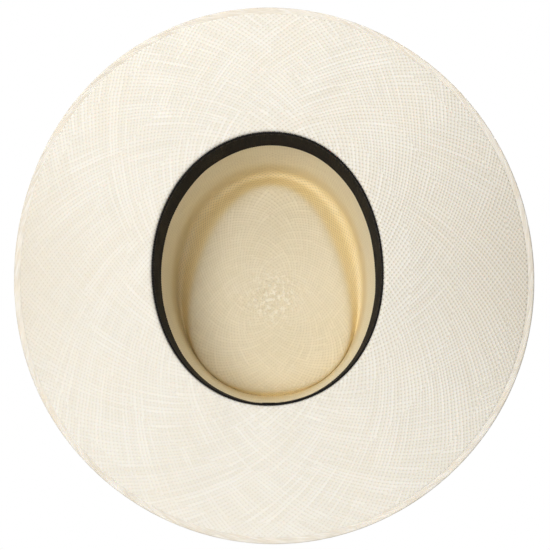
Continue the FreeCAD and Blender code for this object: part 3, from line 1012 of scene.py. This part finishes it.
def build_joint_tape(material):
    """The tape over the band's joint, at the back."""
    arc = np.linspace(-JOINT_TAPE_HALF_WIDTH, JOINT_TAPE_HALF_WIDTH, 13)[None, :]
    rise = np.linspace(JOINT_TAPE_LOW, JOINT_TAPE_HIGH, 20)[:, None]
    crown = JOINT_TAPE_CROWN * np.cos(arc / JOINT_TAPE_HALF_WIDTH * math.pi / 2)
    outward = SWEATBAND_FACE - 0.35 * MM - crown
    return wall_strip("joint_tape", arc, rise, outward, JOINT_TAPE_THICK, material, centre=math.pi)


# ---- outer ribbon and bow ----
def build_hatband(material):
    """The ribbon round the crown, its edges a little loose."""
    random = np.random.default_rng(SEED + 2)
    around, rows = 900, 10
    turn = turns(around)
    share = np.linspace(0.0, 1.0, rows)[:, None]
    rise = HATBAND_LOW + HATBAND_WIDTH * share
    lean = gentle_noise(turn, (4, 7, 11), 0.12 * MM, random)[None, :] * (2 * share - 1) ** 2
    outward = STRAW_THICK + CLOTH_GAP + HATBAND_THICK / 2 + np.abs(lean)
    return closed_band("ribbon", turn, rise, outward, HATBAND_THICK, material)


def build_bow_tails(material):
    """The flat ribbon under the bow, its ends cut on a slant."""
    share = np.linspace(-1.0, 1.0, 61)[None, :]
    height = np.linspace(0.0, 1.0, 12)[:, None]
    slant = BOW_TAIL_SLANT * (height - 0.5) * np.abs(share) ** 3
    arc = share * (BOW_TAIL_REACH - BOW_TAIL_SLANT / 2) - np.sign(share) * slant
    rise = HATBAND_LOW + 1 * MM + (HATBAND_WIDTH - 2 * MM) * height
    curl = 1.0 * MM * smooth((np.abs(share) - 0.75) / 0.25) * height
    return wall_strip("bow_tail_ribbon", arc, rise, BOW_BASE + 0.35 * MM + curl, RIBBON_PLY, material)


def build_bow_loop(name, side, material):
    """A folded loop: its ribbon runs out from the knot, turns over and comes back on top."""
    base = BOW_BASE + BOW_TAIL_THICK + BOW_PLY_GAP
    half_gap = (BOW_LOOP_THICK - RIBBON_PLY) / 2
    start = BOW_KNOT_WIDTH / 2 - 2 * MM
    fold = BOW_LOOP_REACH - half_gap - RIBBON_PLY / 2
    flat = np.linspace(0.0, 1.0, 26)
    bend = np.linspace(-math.pi / 2, math.pi / 2, 11)[1:-1]
    outgoing = start + (fold - start) * flat
    arc = np.concatenate([outgoing, fold + half_gap * np.cos(bend), outgoing[::-1]])
    level = np.concatenate([-np.ones(len(flat)), np.sin(bend), np.ones(len(flat))])
    reach = np.clip((arc - start) / (fold - start), 0, 1)
    opening = 0.35 + 0.65 * np.sin(reach * math.pi / 2)
    outward = base + RIBBON_PLY / 2 + half_gap * (1 + level * opening)
    height = np.linspace(-1.0, 1.0, 16)[:, None]
    fullness = 0.80 + 0.20 * np.sin(reach * math.pi / 2)
    half = (HATBAND_WIDTH / 2 - 1 * MM) * fullness
    pleat = 0.45 * MM * np.cos(height * 2.5 * math.pi) * (1 - smooth(reach / 0.6))[None, :]
    rise = HATBAND_MIDDLE + half[None, :] * height
    outward = outward[None, :] + pleat * (0.5 + 0.5 * level[None, :])
    return wall_strip(name, side * arc[None, :], rise, outward, RIBBON_PLY * 0.9, material)


def build_bow_knot(material):
    """The wrap over the bow's middle, rounded over its top and bottom edges."""
    base = BOW_BASE + BOW_TAIL_THICK
    top = base + BOW_KNOT_THICK - RIBBON_PLY
    half = HATBAND_WIDTH / 2 + 1 * MM - RIBBON_PLY / 2
    angle = np.linspace(-1.0, 1.0, 41)[:, None]
    around = np.sign(angle) * np.abs(angle) ** 0.8 * math.pi * 0.5
    rise = HATBAND_MIDDLE + half * np.sin(around)
    depth = base + (top - base) * np.abs(np.cos(around)) ** 0.35
    width = np.linspace(-1.0, 1.0, 15)[None, :]
    waist = BOW_KNOT_WIDTH / 2 * (0.86 + 0.14 * np.abs(np.sin(around)) ** 2)
    fold = 0.35 * MM * np.cos(width * 3 * math.pi) * np.cos(around) ** 2
    edge = 0.9 * MM * width ** 4
    return wall_strip("bow_wrap", waist * width, rise, depth + fold - edge, RIBBON_PLY, material)


# ---- camera, light and floor ----
def look_at(thing, place, target, up):
    """Turns a camera or light at place towards target, with up towards the picture's top."""
    back = (Vector(place) - Vector(target)).normalized()
    right = Vector(up).cross(back).normalized()
    top = back.cross(right)
    rows = [[right[i], top[i], back[i], place[i]] for i in range(3)] + [[0, 0, 0, 1]]
    thing.matrix_world = Matrix(rows)


def add_camera():
    """Seen from underneath, a little from the back and the wearer's left, as a portrait lens sees it."""
    target = Vector(CAMERA_TARGET)
    away = Vector((math.tan(CAMERA_LEAN_LEFT), math.tan(CAMERA_LEAN_BACK), -1.0)).normalized()
    data = bpy.data.cameras.new("camera")
    data.sensor_width = 36.0
    data.lens = CAMERA_LENS
    data.clip_end = 30.0
    camera = bpy.data.objects.new("camera", data)
    bpy.context.scene.collection.objects.link(camera)
    look_at(camera, target + away * CAMERA_DISTANCE, target, (0, -1, 0))
    bpy.context.scene.camera = camera


def add_light(name, place, size, power):
    """A white round light that faces the hat's middle and isn't seen itself."""
    data = bpy.data.lights.new(name, "AREA")
    data.shape = "DISK"
    data.size = size
    data.energy = power
    light = bpy.data.objects.new(name, data)
    bpy.context.scene.collection.objects.link(light)
    look_at(light, place, (0, 0, 0.04), (0, 0.3, 1))
    light.visible_camera = False


def add_lights():
    """Soft lights from below for the hat's inside, and from above for its outside."""
    add_light("key_below", (-0.804, 0.0, -2.43), 1.2, 39.6)
    add_light("front_below", (-0.15, -0.48, -0.45), 0.35, 1.4)
    add_light("back_below", (0.0, 0.5, -0.45), 0.35, 0.66)
    add_light("key_above", (0.9, -1.1, 1.5), 0.9, 34.0)
    add_light("fill_above", (-1.2, -0.5, 1.0), 1.4, 13.0)


def add_world():
    """Plain white all round: full strength behind the hat, softer as light."""
    world = bpy.data.worlds.new("white")
    world.use_nodes = True
    nodes = world.node_tree.nodes
    links = world.node_tree.links
    nodes.clear()
    mix = nodes.new("ShaderNodeMixShader")
    output = nodes.new("ShaderNodeOutputWorld")
    links.new(nodes.new("ShaderNodeLightPath").outputs["Is Camera Ray"], mix.inputs[0])
    for socket, strength in zip(mix.inputs[1:], (WORLD_LIGHT, WORLD_SEEN)):
        background = nodes.new("ShaderNodeBackground")
        background.inputs["Strength"].default_value = strength
        background.inputs["Color"].default_value = (1, 1, 1, 1)
        links.new(background.outputs[0], socket)
    links.new(mix.outputs[0], output.inputs[0])
    bpy.context.scene.world = world


def add_floor():
    """A wide floor just under the brim."""
    size = 6.0
    corners = [(-size, -size, 0), (size, -size, 0), (size, size, 0), (-size, size, 0)]
    mesh = bpy.data.meshes.new("floor")
    mesh.from_pydata(corners, [], [(0, 1, 2, 3)])
    mesh.materials.append(floor_material())
    floor = bpy.data.objects.new("floor", mesh)
    bpy.context.scene.collection.objects.link(floor)
    floor.location.z = CAD_BOX[0][2] - 0.2 * MM
    floor.visible_shadow = False
    floor.visible_diffuse = False
    floor.visible_glossy = False
    floor.visible_transmission = False


# ---- the hat ----
def place(piece, node, slot):
    """Puts a piece on the hat's body, in place of its CAD node."""
    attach(piece, "root")
    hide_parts(node)


def build_hat():
    """Every piece of the hat, from the straw to the bow."""
    straw = straw_material()
    edge = edge_material()
    # each cloth's dark colour sits in the rib grooves and its light colour on the rib tops; the difference
    # is painted shade and highlight
    lining = grosgrain_material("sweatband_cloth", (0.006, 0.0055, 0.0055, 1), (0.020, 0.018, 0.017, 1),
                                rib_pitch=0.6, sheen=0.0, shine=0.08)
    ribbon = grosgrain_material("ribbon_cloth", (0.005, 0.005, 0.006, 1), (0.030, 0.030, 0.033, 1),
                                rib_pitch=0.75, sheen=0.15, shine=0.35)
    thread = thread_material()

    place(build_straw(straw), "straw_body", "straw")
    place(build_edge_roll(edge), "brim_edge_roll", "straw_edge")
    place(build_sweatband(lining), "sweatband", "sweatband_cloth")
    place(build_reed(lining), "sweatband_reed", "reed_plastic")
    stitch_turns = [FULL_TURN * (index + 0.5) / HEM_STITCH_COUNT for index in range(HEM_STITCH_COUNT)]
    stitch_outward = SWEATBAND_FACE - 0.05 * MM
    stitches = build_stitches("hem_stitches", stitch_turns, HEM_STITCH_RISE, stitch_outward, thread)
    place(stitches, "sweatband_stitches", "thread")
    place(build_joint_tape(lining), "sweatband_joint_tape", "sweatband_cloth")
    place(build_hatband(ribbon), "hatband", "ribbon_cloth")
    bow_half_turn = BOW_TAIL_REACH / HEAD_HALF_LENGTH
    tack_spacing = (FULL_TURN - 2 * bow_half_turn) / TACK_COUNT
    tack_turns = [BOW_TURN + bow_half_turn + tack_spacing * (index + 0.5) for index in range(TACK_COUNT)]
    tack_rise = HATBAND_LOW + HATBAND_WIDTH - TACK_INSET
    tacks = build_stitches("ribbon_tacks", tack_turns, tack_rise, HATBAND_FACE + 0.15 * MM, thread)
    place(tacks, "hatband_tacks", "thread")
    place(build_bow_tails(ribbon), "bow_tails", "ribbon_cloth")
    place(build_bow_loop("bow_loop_front", -1.0, ribbon), "bow_front_loop", "ribbon_cloth")
    place(build_bow_loop("bow_loop_rear", 1.0, ribbon), "bow_rear_loop", "ribbon_cloth")
    place(build_bow_knot(ribbon), "bow_knot", "ribbon_cloth")


add_camera()
build_hat()
add_floor()
add_lights()
add_world()
bpy.context.scene.view_settings.view_transform = "Standard"
